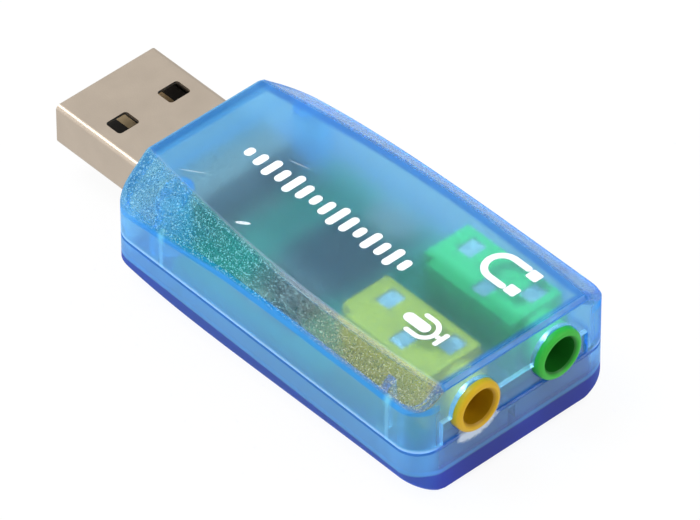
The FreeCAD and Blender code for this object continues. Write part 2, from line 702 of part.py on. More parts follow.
def make_crystal():
    """Clock crystal: a ceramic tray with a smaller metal lid on it."""
    body = start_body("clock_crystal")
    put(body, "place.chip_x", "place.chip_span + size.chip_margin + size.crystal_wide / 2", "place.board_top")
    for name, level, rim in (("tray", "0", "0"), ("lid", "size.crystal_tray", "size.crystal_rim")):
        part = Profile(body, f"crystal_{name}", "XY_Plane", level)
        part.rectangle(f"{rim} - size.crystal_long / 2", f"{rim} - size.crystal_wide / 2",
                       f"size.crystal_long / 2 - {rim}", f"size.crystal_wide / 2 - {rim}")
        part.pad(f"size.crystal_{name}")
    chamfer(body, lambda edge: along(edge, Z_AXIS), "size.crystal_rim / 2")


def make_small_parts(label, places, long, wide, tall):
    """A group of like parts on the board, each a separate block."""
    group = DOC.addObject("Part::Compound", label)
    group.Label = label
    blocks = []
    for index, (x, y) in enumerate(places):
        block = DOC.addObject("Part::Box", f"{label}_{index}")
        block.setExpression("Length", long)
        block.setExpression("Width", wide)
        block.setExpression("Height", tall)
        put(block, f"{x} - {long} / 2", f"{y} - {wide} / 2", "place.board_top")
        blocks.append(block)
    group.Links = blocks
    NODES.append(group)


def make_board_parts():
    near = "-(place.chip_span + size.chip_margin"
    columns = ["place.chip_x - (size.coupler_long + size.small_gap) / 2",
               "place.chip_x + (size.coupler_long + size.small_gap) / 2"]
    make_small_parts("coupling_capacitors", [(x, f"{near} + size.coupler_wide / 2)") for x in columns],
                     "size.coupler_long", "size.coupler_wide", "size.coupler_tall")
    step = "(size.small_long + size.small_gap)"
    row = f"{near} + size.coupler_wide + size.small_gap + size.small_wide / 2)"
    spots = [f"place.chip_x + {step} * {share}" for share in (-1.5, -0.5, 0.5, 1.5)]
    make_small_parts("chip_capacitors", [(x, row) for x in spots[:2]],
                     "size.small_long", "size.small_wide", "size.small_tall")
    make_small_parts("chip_resistors", [(x, row) for x in spots[2:]],
                     "size.small_long", "size.small_wide", "size.flat_tall")


def check(items):
    DOC.recompute()
    bad = [item.Label for item in DOC.Objects if {"Invalid", "Error"} & set(item.State)]
    bad += [item.Label for item in items if item.Shape.isNull() or not item.Shape.isValid()]
    if bad:
        raise RuntimeError(f"failed: {bad}")


def main():
    make_top_shell()
    make_bottom_shell()
    make_board()
    make_plug_shell()
    make_plug_insulator()
    make_strips()
    for name, side in JACKS.items():
        make_jack(name, side)
        make_springs(name, side)
    make_chip()
    make_chip_leads()
    make_crystal()
    make_board_parts()
    check(NODES)
    os.makedirs("parts", exist_ok=True)
    for item in NODES:
        item.Shape.exportStep(f"parts/{item.Label}.step")
        print(item.Label, f"{item.Shape.Volume:.2f}", len(item.Shape.Solids))


main()
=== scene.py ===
import math
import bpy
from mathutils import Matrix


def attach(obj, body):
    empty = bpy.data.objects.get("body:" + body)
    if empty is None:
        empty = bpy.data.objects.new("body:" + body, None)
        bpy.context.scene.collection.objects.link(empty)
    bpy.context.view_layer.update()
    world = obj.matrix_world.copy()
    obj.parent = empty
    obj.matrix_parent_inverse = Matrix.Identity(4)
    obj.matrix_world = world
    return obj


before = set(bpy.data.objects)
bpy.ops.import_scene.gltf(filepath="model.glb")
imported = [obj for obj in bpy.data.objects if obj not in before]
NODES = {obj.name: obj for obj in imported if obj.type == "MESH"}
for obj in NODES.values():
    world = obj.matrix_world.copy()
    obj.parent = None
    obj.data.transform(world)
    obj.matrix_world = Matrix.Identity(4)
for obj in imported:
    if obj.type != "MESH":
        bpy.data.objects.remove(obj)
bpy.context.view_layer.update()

from types import SimpleNamespace

import bmesh
import bpy
from mathutils import Matrix, Vector

MM = 0.001

# Heights and places of the solids, in millimetres.
LID_Z = 12.37
SEAM_Z = 5.4
REAR_X = -14.075
FRONT_X = 26.575
CASE_LONG = FRONT_X - REAR_X
SIDE_REAR = 11.37
SIDE_FLARE = 0.41
WALL_CORNER = 2.8
JACK_Y = 4.85
JACK_Z = 8.04
JACK_PROUD = 0.7
RIB_X = -7.0
FRONT_RIB_X = 22.7
BOSS_X = -8.675
BOSS_Y = 8.0

# Along the lid: the distance from the rear, half the lid's width, and the drop of its bevel.
LID_STATIONS = ((0.0, 6.78, 4.05), (15.5, 8.72, 2.3), (23.5, 9.12, 2.11), (40.65, 8.64, 2.11))

# Upper edge of the painted deeper blue shade round the foot: its height at the rear, and its fall to the
# front.
FOOT_REAR = 3.3
FOOT_FALL = 0.6

# Fineness of the grain in the shells, in cells to the millimetre.
GRIT_SCALE = 7.5
GRAIN_SCALE = 10.0

# Depth, in metres, and strength of the etching in the clear plastic and of the grain elsewhere.
ETCH_DEPTH = 0.00012
ETCH_STRENGTH = 0.7
GRAIN_DEPTH = 0.00002
GRAIN_STRENGTH = 0.5

# Clear plastic: haze, roughness, what polish takes off the roughness of the walls, and height of its grit.
CLEAR_HAZE = 0.07
CLEAR_ROUGH = 0.24
WALL_POLISH = 0.16
GRIT_HEIGHT = 0.03

# Colour of the haze in each shell, and the colour and density of its tint.
TOP_MILK = (0.22, 0.6, 0.9)
BOTTOM_MILK = (0.26, 0.67, 0.94)
TOP_TINT = ((0.0, 0.72, 0.93), 320.0)
BOTTOM_TINT = ((0.03, 0.55, 0.96), 330.0)


class Level:
    """A socket in a material, with operators that add Math nodes."""

    def __init__(self, paint, socket):
        self.paint = paint
        self.socket = socket

    def math(self, operation, *others):
        return self.paint.math(operation, self, *others)

    def __add__(self, other):
        return self.math("ADD", other)

    __radd__ = __add__

    def __sub__(self, other):
        return self.math("SUBTRACT", other)

    def __rsub__(self, other):
        return self.paint.math("SUBTRACT", other, self)

    def __mul__(self, other):
        return self.math("MULTIPLY", other)

    __rmul__ = __mul__

    def __truediv__(self, other):
        return self.math("DIVIDE", other)

    def __rtruediv__(self, other):
        return self.paint.math("DIVIDE", other, self)

    def __pow__(self, other):
        return self.math("POWER", other)

    def __abs__(self):
        return self.math("ABSOLUTE")

    def least(self, other):
        return self.math("MINIMUM", other)

    def most(self, other):
        return self.math("MAXIMUM", other)

    def rise(self, low, high):
        """0 below low, 1 above high, smooth between. With low above high it falls."""
        values = {"Value": self, "From Min": low, "From Max": high}
        return self.paint.node("ShaderNodeMapRange", {"interpolation_type": "SMOOTHSTEP"}, values)


class Paint:
    """The nodes of a procedural material, or of the room round the object."""

    def __init__(self, name, store=bpy.data.materials, output="ShaderNodeOutputMaterial"):
        self.owner = store.new(name)
        self.owner.use_nodes = True
        self.tree = self.owner.node_tree
        self.tree.nodes.clear()
        self.surface = self.tree.nodes.new(output)

    def node(self, kind, settings=None, values=None, output=0):
        """One node: its settings first, then the values or links of its sockets."""
        node = self.tree.nodes.new(kind)
        for key, value in (settings or {}).items():
            if key == "stops":
                self.set_stops(node.color_ramp, value)
            else:
                setattr(node, key, value)
        for key, value in (values or {}).items():
            if isinstance(value, Level):
                self.tree.links.new(value.socket, node.inputs[key])
            else:
                node.inputs[key].default_value = value
        return Level(self, node.outputs[output])

    @staticmethod
    def set_stops(ramp, stops):
        ramp.elements.remove(ramp.elements[1])
        for index, (place, colour) in enumerate(stops):
            element = ramp.elements.new(place) if index else ramp.elements[0]
            element.position = place
            element.color = colour

    def math(self, operation, *values):
        return self.node("ShaderNodeMath", {"operation": operation}, dict(enumerate(values)))

    def place(self):
        """The object's own place, in millimetres, and its X, Y and Z."""
        spot = self.node("ShaderNodeTexCoord", output="Object")
        scaled = self.node("ShaderNodeVectorMath", {"operation": "SCALE"}, {0: spot, "Scale": 1 / MM})
        apart = [self.node("ShaderNodeSeparateXYZ", {}, {0: scaled}, output=axis) for axis in "XYZ"]
        return scaled, apart

    def noise(self, place, scale, detail, rough=0.5):
        values = {"Vector": place, "Scale": scale, "Detail": detail, "Roughness": rough}
        return self.node("ShaderNodeTexNoise", {}, values)

    def grains(self, place, scale):
        """A random level in each of many small cells."""
        shade = self.node("ShaderNodeTexVoronoi", {}, {"Vector": place, "Scale": scale}, output="Color")
        return self.node("ShaderNodeSeparateColor", {}, {0: shade})

    def along(self, reach, values):
        """A level that follows (share of the way, value) pairs, with straight runs between them."""
        full = 20
        stops = [(share, rgba(*(value / full,) * 3)) for share, value in values]
        return full * self.node("ShaderNodeValToRGB", {"stops": stops}, {0: reach})

    def mix(self, share, first, second):
        """Colour between two colours."""
        return self.node("ShaderNodeMix", {"data_type": "RGBA"}, {0: share, 6: first, 7: second}, output=2)

    def bump(self, height, distance, strength):
        values = {"Height": height, "Distance": distance, "Strength": strength}
        return self.node("ShaderNodeBump", {}, values)

    def blend(self, share, first, second):
        """Shader between two shaders."""
        return self.node("ShaderNodeMixShader", {}, {0: share, 1: first, 2: second})

    def matt(self, colour):
        return self.node("ShaderNodeBsdfDiffuse", {}, {"Color": rgba(*colour)})

    def cloud(self, colour):
        """Cloudy plastic, which sends light back and on."""
        sent_on = 0.6
        onward = self.node("ShaderNodeBsdfTranslucent", {}, {"Color": rgba(*colour)})
        return self.blend(sent_on, self.matt(colour), onward)

    def finish(self, shader, volume=None):
        self.tree.links.new(shader.socket, self.surface.inputs["Surface"])
        if volume is not None:
            self.tree.links.new(volume.socket, self.surface.inputs["Volume"])
        return self.owner


# Films in the clear shells, mostly painted light as marked below: how each is made, its greatest share, and
# its red, green and blue.
FILMS = {
    # Painted deeper blue shade along the edges.
    "deep_edge_shade": (Paint.cloud, 0.5, (0.01, 0.17, 0.72)),
    # Painted highlights along the shoulder of the walls and at the parting line.
    "ridge_highlight": (Paint.cloud, 0.6, (0.02, 0.36, 0.9)),
    "lip_highlight": (Paint.matt, 0.3, (0.62, 0.86, 0.97)),
    # Painted deeper blue shade across the rear of the lid and its bevels.
    "rear_edge_shade": (Paint.cloud, 0.65, (0.01, 0.15, 0.5)),
    # Painted pale highlights on the rear wall, the ribs and the pins, and a painted glint at the ribs.
    "pale_highlight": (Paint.cloud, 0.4, (0.4, 0.8, 1.0)),
    "glint": (Paint.cloud, 0.6, (0.3, 0.85, 1.0)),
    # Painted tones for the light on the far side: lilac-blue on the far bevel, pale cyan on the far half of
    # the lid.
    "far_bevel": (Paint.cloud, 0.35, (0.3, 0.48, 0.9)),
    "far_lid": (Paint.cloud, 0.1, (0.5, 0.95, 1.0)),
    # Painted views of what shows through the near bevel: dark towards the rear, the green board, the amber
    # jack.
    "slate": (Paint.matt, 0.3, (0.06, 0.23, 0.31)),
    "teal": (Paint.matt, 0.58, (0.0, 0.18, 0.18)),
    "amber": (Paint.matt, 0.3, (0.25, 0.19, 0.06)),
    # Painted shade over the chip and between the jacks.
    "chip_shade": (Paint.matt, 0.2, (0.01, 0.04, 0.06)),
    "jack_gap_shade": (Paint.matt, 0.3, (0.01, 0.08, 0.03)),
    "pits": (Paint.matt, 0.35, (0.01, 0.07, 0.11)),
    # Painted sparkle on the grain, cool, and warm over the amber jack.
    "cool_sparkle": (Paint.matt, 1.0, (0.5, 0.86, 0.95)),
    "warm_sparkle": (Paint.matt, 1.0, (0.75, 0.76, 0.55)),
    "chalk": (Paint.matt, 1.0, (0.78, 0.85, 0.92)),
    # Painted deeper blue shade round the foot.
    "foot": (Paint.cloud, 0.7, (0.065, 0.05, 0.42)),
    # Painted highlight line above the foot.
    "foot_highlight": (Paint.cloud, 0.3, (0.2, 0.6, 1.0)),
    "seam": (Paint.cloud, 0.6, (0.01, 0.12, 0.45)),
}


def film(paint, name, mask):
    """Share and shader of a film where the mask is 1."""
    make, share, colour = FILMS[name]
    return mask * share, make(paint, colour)


def rgba(red, green, blue):
    return (red, green, blue, 1.0)


def darker(colour, share):
    return tuple(value * share for value in colour)


def side_half(x):
    """Half the width of the case, which flares to the front."""
    return (x - REAR_X) * (SIDE_FLARE / CASE_LONG) + SIDE_REAR


def lid_place(paint, x, y):
    """How far out from the lid's edge a point is, and the bevel's drop and run there."""
    reach = (x - REAR_X) / CASE_LONG
    lid, drop = (paint.along(reach, [(station[0] / CASE_LONG, station[column]) for station in LID_STATIONS])
                 for column in (1, 2))
    return abs(y) - lid, drop, side_half(x) - lid


def outer_wall(x, y):
    """1 on the outer face of the upright walls, 0 inside."""
    past_x = (abs(x - (REAR_X + FRONT_X) / 2) - (CASE_LONG / 2 - WALL_CORNER)).most(0)
    past_y = (abs(y) - side_half(x) + WALL_CORNER).most(0)
    gap = (past_x ** 2 + past_y ** 2) ** 0.5 - WALL_CORNER
    return gap.rise(-0.55, -0.35)


def front_face(x, y):
    """1 on the flat of the front wall, 0 elsewhere."""
    return x.rise(FRONT_X - 1.5, FRONT_X - 0.4) * abs(y).rise(10.5, 8.5)


def shell_grit(paint, spot):
    return paint.noise(spot, GRIT_SCALE, 2.0, 0.65)


def spot_mark(at, middle, half, turn):
    """1 in a small slanted ellipse on the lid, 0 outside."""
    angle = math.radians(turn)
    ahead, aside = at.x - middle[0], at.y - middle[1]
    along = ahead * math.cos(angle) + aside * math.sin(angle)
    across = aside * math.cos(angle) - ahead * math.sin(angle)
    return ((along / half[0]) ** 2 + (across / half[1]) ** 2).rise(1.2, 0.7) * at.top


def front_scuff(x, y, z, grit):
    """Chalky rub mark round the lower side of the microphone jack."""
    share, ragged = 0.55, 1.6
    lean_across, lean_down = 0.17, 0.98
    across, down = y + JACK_Y, JACK_Z - z
    radius = (across ** 2 + down ** 2) ** 0.5
    facing = (across * lean_across + down * lean_down) / radius
    mark = radius.rise(2.7, 2.8) * (radius + grit * ragged).rise(4.75, 4.5) * facing.rise(0.68, 0.78)
    return mark * x.rise(FRONT_X - 0.6, FRONT_X - 0.4) * share


def clear_plastic(paint, haze, rough, height, milk, films, tint):
    """Clear moulded plastic, tinted through its thickness, with a slight haze and films over it: painted
    shade, highlights and views of what lies below, with grain and wear.
    """
    glass = paint.node("ShaderNodeBsdfPrincipled", {}, {
        "Transmission Weight": 1.0, "IOR": 1.5, "Base Color": rgba(0.95, 0.98, 1.0), "Roughness": rough,
        "Normal": paint.bump(height, ETCH_DEPTH, ETCH_STRENGTH)})
    body = paint.blend(haze, glass, paint.cloud(milk))
    for share, shader in films:
        body = paint.blend(share, body, shader)
    shadow = paint.node("ShaderNodeLightPath", output="Is Shadow Ray")
    clear = paint.node("ShaderNodeBsdfTransparent", {}, {"Color": rgba(0.75, 0.9, 1.0)})
    colour, density = tint
    depth = paint.node("ShaderNodeVolumeAbsorption", {}, {"Color": rgba(*colour), "Density": density})
    return paint.finish(paint.blend(shadow, body, clear), depth)


def top_faces(paint):
    """Places on the upper shell, in millimetres, and masks that are 1 on a face and 0 elsewhere."""
    spot, (x, y, z) = paint.place()
    out, drop, run = lid_place(paint, x, y)
    slope = LID_Z - out * drop / run
    shoulder = z + drop - LID_Z
    bevel = out.rise(-0.15, 0.1) * (z - slope).rise(-0.7, -0.5) * shoulder.rise(0.0, 0.35)
    far = y.rise(0, 6)
    return SimpleNamespace(
        spot=spot, x=x, y=y, z=z, out=out, shoulder=shoulder, bevel=bevel, far=far, near=bevel * (1 - far),
        top=z.rise(LID_Z - 0.1, LID_Z - 0.02), wall=outer_wall(x, y), front=front_face(x, y))


def edge_films(paint, at):
    """Painted deeper blue shade along the edges and across the rear, painted highlights along the shoulder,
    at the parting line, on the rear wall, the ribs and the pins, and a painted glint at each rib.
    """
    # rim, front_rim and corner: painted deeper blue shade along the far edge of the lid, the front top edge
    # and the far front corner.
    rim = at.top * at.out.rise(-1.2, -0.5) * at.y.rise(-2, 4)
    front_rim = at.z.rise(LID_Z - 0.7, LID_Z - 0.3) * at.x.rise(FRONT_X - 1.1, FRONT_X - 0.6)
    corner = at.wall * at.x.rise(FRONT_X - 2.2, FRONT_X - 1.2) * at.y.rise(9.0, 10.8)
    # Painted highlight along the shoulder of the walls.
    ridge_highlight = at.wall * abs(at.shoulder - 0.05).rise(0.55, 0.25) * (1 - at.front)
    # Painted pale highlight along the lower edge of the upper shell, at the parting line.
    lip_highlight = at.wall * at.z.rise(SEAM_Z + 0.55, SEAM_Z + 0.25) * (1 - at.front)
    # Painted deeper blue shade across the rear of the lid and its bevels.
    rear_edge_shade = at.x.rise(REAR_X + 1.7, REAR_X + 0.9) * at.top.most(at.bevel * 0.8)
    # rear, rib and pin: painted pale highlights on the rear wall, on the side walls at the ribs, and round
    # the pins; glint adds a painted glint near the shoulder at each rib.
    rear = at.wall * at.x.rise(REAR_X + 5, REAR_X + 1) * 0.9
    sides = at.wall * abs(at.y).rise(9, 10)
    beside = abs(at.x - RIB_X).least(abs(at.x - FRONT_RIB_X))
    rib = sides * beside.rise(0.36, 0.1)
    glint = sides * beside.rise(0.7, 0.1) * abs(at.shoulder).rise(1.1, 0.1)
    from_pin = ((at.x - BOSS_X) ** 2 + (abs(at.y) - BOSS_Y) ** 2) ** 0.5
    pin = from_pin.rise(1.9, 1.6) * at.z.rise(LID_Z - 1.0, LID_Z - 2.0)
    return (film(paint, "deep_edge_shade", rim.most(front_rim).most(corner)), film(paint, "ridge_highlight", ridge_highlight),
            film(paint, "lip_highlight", lip_highlight), film(paint, "rear_edge_shade", rear_edge_shade),
            film(paint, "pale_highlight", rib.most(rear).most(pin)), film(paint, "glint", glint))


def shade_and_view_films(paint, at, warm):
    """Painted light in the lid and its bevels: tones on the far side, views of what lies below the near
    bevel, and shade over the chip and between the jacks.
    """
    # slate, teal and amber: painted views of what shows through the near bevel: dark towards the rear, the
    # green board in the middle, the amber jack at the front.
    slate = at.near * at.x.rise(-2, -9)
    teal = at.near * at.x.rise(-10, -3) * at.x.rise(8, 2)
    # Painted shade on the lid over the chip.
    chip_shade = at.top * abs(at.x - 6).rise(9, 4) * abs(at.y + 2).rise(7, 3)
    # Painted shade on the lid over the gap between the jacks.
    jack_gap_shade = at.top * at.x.rise(12, 14) * abs(at.y).rise(3.2, 1.6)
    # far_bevel and far_lid: painted tones on the far bevel and the far half of the lid, for the light on the
    # far side.
    return (film(paint, "far_bevel", at.bevel * at.far), film(paint, "far_lid", at.top * at.far),
            film(paint, "slate", slate), film(paint, "teal", teal), film(paint, "amber", warm),
            film(paint, "chip_shade", chip_shade), film(paint, "jack_gap_shade", jack_gap_shade))


def grain_and_sparkle_films(paint, at, warm, coarse):
    """Dark specks of the etched grain, and bright specks of painted sparkle, warmer over the amber jack."""
    near_share, far_less, lid_share = 0.3, 0.16, 0.05
    pits = coarse.rise(0.25, 0.05) * at.bevel
    sparkle = coarse.rise(0.7, 1.0) * (at.bevel * (near_share - at.far * far_less) + at.top * lid_share)
    return (film(paint, "pits", pits), film(paint, "cool_sparkle", sparkle * (1 - warm)),
            film(paint, "warm_sparkle", sparkle * warm))


def lid_wear(at, grit):
    """A nick, a scratch and a scrape on the lid."""
    nick = spot_mark(at, (-0.8, -7.2), (0.7, 0.2), 37) * grit.rise(0.3, 0.45) * 0.75
    scratch = spot_mark(at, (-8.8, -5.9), (1.2, 0.06), 34) * 0.3
    scrape = spot_mark(at, (-3.1, 1.6), (1.1, 0.07), 14) * 0.25
    return nick.most(scratch).most(scrape)


def top_plastic():
    """Upper shell: etched grain on the lid and its bevels, polished walls, painted deeper blue shade along
    the edges, painted highlights, sparkle and views of what lies below.
    """
    wall_haze, front_clear, lid_haze, lid_rough, lid_height, bevel_height = 0.42, 0.6, 0.02, 0.08, 0.1, 0.1
    paint = Paint("clear_blue_top")
    at = top_faces(paint)
    grit = shell_grit(paint, at.spot)
    coarse = paint.grains(at.spot, GRAIN_SCALE)
    # Where the amber jack shows through the near bevel: a painted amber view, and warmer painted sparkle.
    warm = at.near * at.x.rise(8, 15)
    cloudy = at.wall * (1 - at.front * front_clear) * wall_haze
    haze = (CLEAR_HAZE + cloudy) * (1 - at.bevel) + at.top * lid_haze
    rough = CLEAR_ROUGH - at.wall * (1 - at.bevel) * WALL_POLISH + at.top * lid_rough
    height = grit * GRIT_HEIGHT + grit * at.top * lid_height + coarse * at.bevel * bevel_height
    wear = front_scuff(at.x, at.y, at.z, grit).most(lid_wear(at, grit))
    films = (*edge_films(paint, at), *shade_and_view_films(paint, at, warm), *grain_and_sparkle_films(paint, at, warm, coarse),
             film(paint, "chalk", wear))
    return clear_plastic(paint, haze, rough, height, TOP_MILK, films, TOP_TINT)


def bottom_plastic():
    """Lower shell: polished walls, with a painted highlight line above the painted deeper blue shade round
    its foot.
    """
    wall_haze, front_clear, front_fall, highlight_rise, seam_fall = 0.58, 0.7, 0.4, 0.3, 0.1
    paint = Paint("clear_blue_bottom")
    spot, (x, y, z) = paint.place()
    wall = outer_wall(x, y)
    front = front_face(x, y)
    grit = shell_grit(paint, spot)
    reach = (x - REAR_X) / CASE_LONG
    lift = z + reach * FOOT_FALL + front * front_fall - FOOT_REAR
    # Painted deeper blue shade round the foot.
    foot = lift.rise(0.1, -0.1)
    # Painted highlight line just above the painted shade round the foot.
    foot_highlight = wall * abs(lift - highlight_rise).rise(0.35, 0.1)
    seam = wall * abs(z - SEAM_Z + seam_fall).rise(0.16, 0.06)
    haze = CLEAR_HAZE + wall * (1 - front * front_clear) * wall_haze
    rough = CLEAR_ROUGH - wall * WALL_POLISH
    films = (film(paint, "foot", foot), film(paint, "foot_highlight", foot_highlight), film(paint, "seam", seam),
             film(paint, "chalk", front_scuff(x, y, z, grit)))
    return clear_plastic(paint, haze, rough, grit * GRIT_HEIGHT, BOTTOM_MILK, films, BOTTOM_TINT)


def jack_plastic(name, block, ring, bore, side):
    """Moulded plastic with stains and painted shade towards the bottom of the block, and painted shade in
    the bore, darker at its mouth than further in.
    """
    stain_scale, stain_share, shade_share, stain_and_shade_dark, mouth_dark = 0.7, 0.5, 0.6, 0.45, 0.7
    fine_scale, base_rough, rough_swing = 5.0, 0.36, 0.1
    paint = Paint(name)
    spot, (x, y, z) = paint.place()
    radius = ((y - side * JACK_Y) ** 2 + (z - JACK_Z) ** 2) ** 0.5
    depth = FRONT_X + JACK_PROUD - x
    inside = radius.rise(2.12, 1.95) * depth.rise(0.02, 0.25)
    outside = x.rise(FRONT_X - 1.0, FRONT_X - 0.3)
    stain = paint.noise(spot, stain_scale, 3.0, 0.6).rise(0.54, 0.72) * stain_share
    # Painted shade towards the bottom of the block, darkened together with the stains.
    low_shade = (JACK_Z - z).rise(-2.4, 0.5) * shade_share
    body = paint.mix(stain.most(low_shade), rgba(*block), rgba(*darker(block, stain_and_shade_dark)))
    # Painted shade in the bore, darker at its mouth than further in.
    hollow = paint.mix(depth.rise(0.6, 2.2), rgba(*darker(bore, mouth_dark)), rgba(*bore))
    shade = paint.mix(inside, paint.mix(outside, body, rgba(*ring)), hollow)
    fine = paint.noise(spot, fine_scale, 3.0, 0.6)
    shader = paint.node("ShaderNodeBsdfPrincipled", {}, {
        "Base Color": shade, "Roughness": base_rough + fine * rough_swing, "Specular IOR Level": 0.25,
        "Normal": paint.bump(fine, GRAIN_DEPTH, GRAIN_STRENGTH)})
    return paint.finish(shader)


def plain(name, colour, roughness, metallic=0.0, grain=6.0, depth=GRAIN_DEPTH):
    """Moulded or metal surface with a fine grain and slight mottling."""
    mottle_scale, mottle_shade, rough_swing = 0.35, 0.82, 0.12
    paint = Paint(name)
    spot, _ = paint.place()
    fine = paint.noise(spot, grain, 4.0, 0.6)
    broad = paint.noise(spot, mottle_scale, 3.0)
    shade = paint.mix(broad, rgba(*darker(colour, mottle_shade)), rgba(*colour))
    shader = paint.node("ShaderNodeBsdfPrincipled", {}, {
        "Base Color": shade, "Metallic": metallic, "Roughness": roughness + (fine - 0.5) * rough_swing,
        "Normal": paint.bump(fine, depth, GRAIN_STRENGTH)})
    return paint.finish(shader)


def board_resist():
    """Green solder resist over copper runs, with painted shade where the jacks stand."""
    lanes_per_mm, wander_scale, wander, lane_depth = 0.9, 0.18, 5, 0.00003
    base_rough, rough_swing = 0.34, 0.1
    run_green, gap_green = rgba(0.008, 0.22, 0.11), rgba(0.02, 0.28, 0.14)
    # Painted shade on the board where the jacks stand.
    jack_shade_green = rgba(0.003, 0.10, 0.045)
    paint = Paint("board_green")
    spot, (x, y, _) = paint.place()
    bent = y * lanes_per_mm + paint.noise(spot, wander_scale, 0.0) * wander
    lanes = abs(bent.math("FRACT") - 0.5).rise(0.12, 0.2)
    shade = paint.mix(x.rise(12.0, 13.5), paint.mix(lanes, gap_green, run_green), jack_shade_green)
    shader = paint.node("ShaderNodeBsdfPrincipled", {}, {
        "Base Color": shade, "Roughness": base_rough + lanes * rough_swing,
        "Normal": paint.bump(lanes, lane_depth, GRAIN_STRENGTH)})
    return paint.finish(shader)


def dress(names, material):
    for name in names:
        node = NODES[name]
        node.data.materials.clear()
        node.data.materials.append(material)


def dress_nodes():
    strips = [name for name in NODES if name.startswith("plug_contact")]
    springs = [name for name in NODES if name.endswith("_contact")]
    # Block, ring and bore colours of each jack moulding: the block inside the case is a painted lighter copy
    # of the ring's plastic, and the bore a painted shaded copy.
    green = ((0.04, 0.62, 0.12), (0.03, 0.37, 0.032), (0.011, 0.2, 0.016))
    amber = ((0.80, 0.50, 0.01), (0.55, 0.33, 0.004), (0.5, 0.27, 0.002))
    dress(["top_shell"], top_plastic())
    dress(["bottom_shell"], bottom_plastic())
    dress(["circuit_board"], board_resist())
    dress(["plug_shell"], plain("satin_nickel", (0.57, 0.485, 0.395), 0.42, 1.0))
    dress(["plug_insulator"], plain("black_moulding", (0.012, 0.012, 0.014), 0.5))
    dress(strips, plain("plated_strip", (0.8, 0.7, 0.5), 0.25, 1.0))
    dress(["headphone_jack_housing"], jack_plastic("green_moulding", *green, 1))
    dress(["microphone_jack_housing"], jack_plastic("amber_moulding", *amber, -1))
    dress(springs, plain("tinned_spring", (0.8, 0.81, 0.82), 0.4, 0.9, 1.4, 0.0004))
    dress(["codec_chip"], plain("chip_epoxy", (0.015, 0.015, 0.018), 0.55))
    dress(["codec_leads"], plain("tinned_lead", (0.75, 0.75, 0.74), 0.3, 1.0))
    dress(["clock_crystal"], plain("crystal_lid", (0.72, 0.68, 0.55), 0.3, 1.0))
    dress(["coupling_capacitors"], plain("dark_capacitor", (0.08, 0.05, 0.02), 0.4))
    dress(["chip_capacitors"], plain("tan_capacitor", (0.5, 0.35, 0.2), 0.5))
    dress(["chip_resistors"], plain("black_resistor", (0.02, 0.02, 0.03), 0.4))


def stroke(points, width):
    """Outline of a line of even width with round ends, along the points."""
    path = [Vector(point) for point in points]
    half = width / 2
    left, right = [], []
    for index, point in enumerate(path):
        before, after = path[max(index - 1, 0)], path[min(index + 1, len(path) - 1)]
        ahead = (after - before).normalized()
        side = Vector((-ahead.y, ahead.x)) * half
        left.append(point + side)
        right.append(point - side)
    return left + cap(path[-1], left[-1], half) + right[::-1] + cap(path[0], right[0], half)


def cap(middle, begin, half):
    """Half round end of a stroke, from its begin point clockwise round the middle."""
    first = math.atan2(begin.y - middle.y, begin.x - middle.x)
    steps = 10
    angles = [first - math.pi * step / steps for step in range(1, steps)]
    return [middle + Vector((math.cos(angle), math.sin(angle))) * half for angle in angles]


def arc(middle, radius, begin, end, steps=20):
    """Points round a middle, between two angles in degrees."""
    angles = [math.radians(begin + (end - begin) * step / steps) for step in range(steps + 1)]
    return [(middle[0] + radius * math.cos(angle), middle[1] + radius * math.sin(angle)) for angle in angles]


def block(low, high, ease):
    """Outline of a rectangle with eased corners."""
    middles = ((high[0] - ease, high[1] - ease), (low[0] + ease, high[1] - ease),
               (low[0] + ease, low[1] + ease), (high[0] - ease, low[1] + ease))
    corners = [arc(middle, ease, 90 * turn, 90 * turn + 90, 4) for turn, middle in enumerate(middles)]
    return [point for corner in corners for point in corner]


def ink(name, outlines, material):
    """White print on the lid: closed outlines with the thickness of a coat of ink."""
    low, high = 0.002, 0.02
    build = bmesh.new()
    for outline in outlines:
        corners = [build.verts.new((point[0] * MM, point[1] * MM, (LID_Z + low) * MM)) for point in outline]
        face = build.faces.new(corners)
        raised = bmesh.ops.extrude_face_region(build, geom=[face])
        lifted = [item for item in raised["geom"] if isinstance(item, bmesh.types.BMVert)]
        bmesh.ops.translate(build, verts=lifted, vec=(0, 0, (high - low) * MM))
    bmesh.ops.recalc_face_normals(build, faces=build.faces)
    bmesh.ops.triangulate(build, faces=build.faces)
    mesh = bpy.data.meshes.new(name)
    build.to_mesh(mesh)
    build.free()
    mesh.materials.append(material)
    piece = bpy.data.objects.new(name, mesh)
    bpy.context.scene.collection.objects.link(piece)
    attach(piece, "root")


def headphone_sign(paint):
    """An arch with two ear pads at its ends."""
    middle, reach, band = (18.9, 5.55), 1.6, 0.7
    arch_end, pad_end, pad_half, pad_inset, pad_ease, gap = 20.55, 22.2, 0.6, 0.25, 0.2, 0.02
    arch = [(arch_end, middle[1] + reach)] + arc(middle, reach, 90, 270) + [(arch_end, middle[1] - reach)]
    pad_begin = arch_end + band / 2 + gap
    pads = []
    for side in (1, -1):
        pad_y = middle[1] + side * (reach - pad_inset)
        pads.append(block((pad_begin, pad_y - pad_half), (pad_end, pad_y + pad_half), pad_ease))
    ink("headphone_sign", [stroke(arch, band)] + pads, paint)


